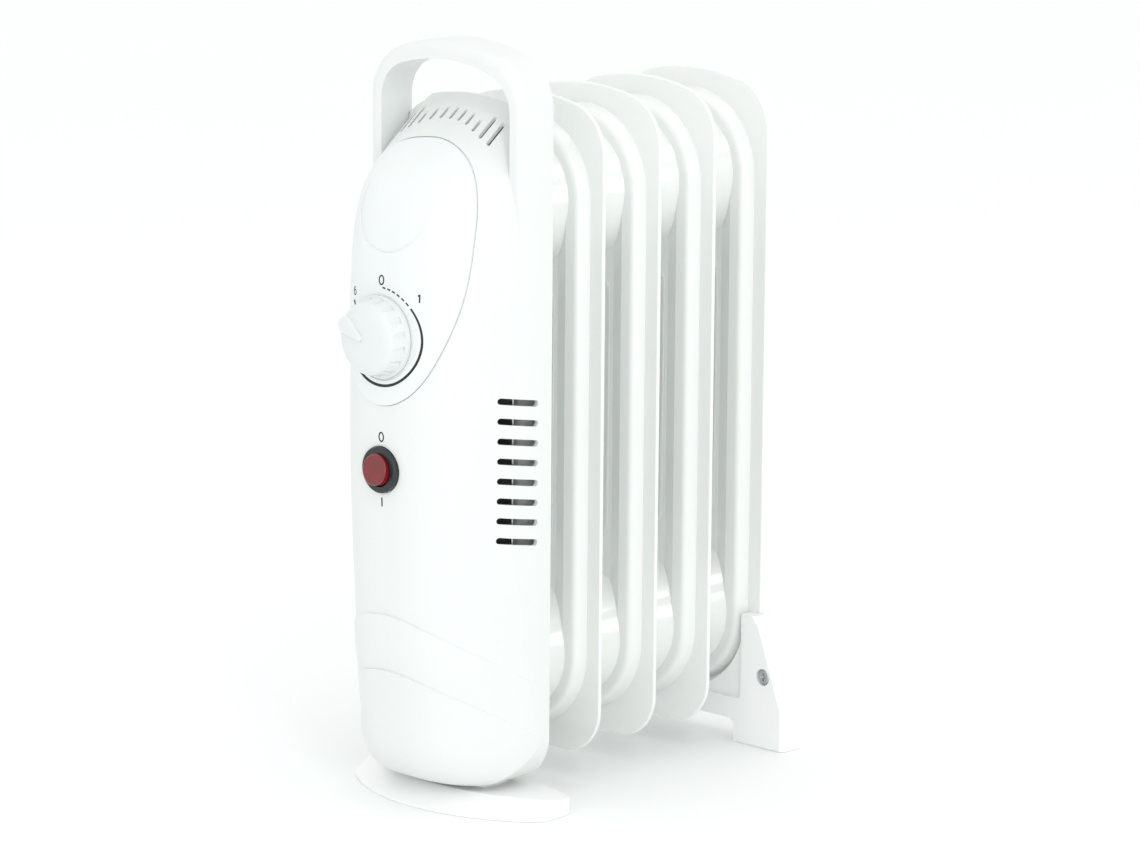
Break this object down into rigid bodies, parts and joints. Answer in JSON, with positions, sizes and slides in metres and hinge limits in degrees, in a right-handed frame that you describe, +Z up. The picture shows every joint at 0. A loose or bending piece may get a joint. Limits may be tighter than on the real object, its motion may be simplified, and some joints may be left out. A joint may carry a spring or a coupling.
{
  "type": "oil filled radiator heater",
  "caption": "Small oil filled radiator with pressed steel fins, a domed control housing with carrying arch, thermostat knob, round rocker switch and two feet.",
  "frame": {"origin": "on the floor, under the middle of the overall width and depth", "axes": "+X to the right of somebody facing the controls, -Y towards them, +Z up"},
  "size_m": [0.146, 0.2492, 0.3774],
  "materials": {
    "enamel_steel": "gloss white baked enamel",
    "white_plastic": "fine semi-gloss moulding",
    "panel_plastic": "semi-gloss moulding",
    "knob_plastic": "gloss moulding",
    "foot_plastic": "semi-gloss moulding",
    "black_plastic": "satin black",
    "red_plastic": "translucent dark red",
    "lamp_glass": "clear orange glass",
    "brass": "bright",
    "zinc_steel": "zinc plated",
    "bright_screw": "bright plated",
    "element_steel": "dark oxidised",
    "copper_washer": "soft copper",
    "dark_phenolic": "matte phenolic",
    "block_plastic": "matte",
    "gland_plastic": "matte white",
    "brown_wire": "insulation",
    "blue_wire": "insulation",
    "green_wire": "insulation"
  },
  "bodies": {
    "heater": {"fin_1_front_pressing": "enamel_steel", "fin_1_rear_pressing": "enamel_steel", "fin_2_front_pressing": "enamel_steel", "fin_2_rear_pressing": "enamel_steel", "fin_3_front_pressing": "enamel_steel", "fin_3_rear_pressing": "enamel_steel", "fin_4_front_pressing": "enamel_steel", "fin_4_rear_pressing": "enamel_steel", "fin_5_front_pressing": "enamel_steel", "fin_5_rear_pressing": "enamel_steel", "housing_shell": "white_plastic", "fascia_panel": "panel_plastic", "thermostat_body": "dark_phenolic", "thermostat_nut": "zinc_steel", "switch_housing": "black_plastic", "neon_lamp": "lamp_glass", "switch_terminals": "brass", "mounting_plate": "zinc_steel", "heating_element": "element_steel", "element_flange": "zinc_steel", "element_lock_nut": "zinc_steel", "element_terminals": "brass", "oil_plug": "zinc_steel", "plug_washer": "copper_washer", "plug_nut": "zinc_steel", "thermal_cutout": "dark_phenolic", "terminal_block": "block_plastic", "plate_screws": "zinc_steel", "cord_gland": "gland_plastic", "wire_live": "brown_wire", "wire_neutral": "blue_wire", "wire_earth": "green_wire", "front_foot": "foot_plastic", "foot_screws": "zinc_steel", "foot_nuts": "zinc_steel", "rear_foot_front_half": "foot_plastic", "rear_foot_rear_half": "foot_plastic", "clamp_screws": "bright_screw", "clamp_nuts": "zinc_steel"},
    "knob": {"knob": "knob_plastic", "knob_spindle": "zinc_steel"},
    "rocker": {"rocker_button": "red_plastic"}
  },
  "joints": [
    {"name": "knob_turn", "type": "hinge", "parent": "heater", "child": "knob", "pos_m": [0, -0.1124, 0.2376], "axis": [0, 1, 0], "range_deg": [-300, 0]},
    {"name": "rocker_tilt", "type": "hinge", "parent": "heater", "child": "rocker", "pos_m": [0, -0.1104, 0.1717], "axis": [1, 0, 0], "range_deg": [0, 20]}
  ]
}
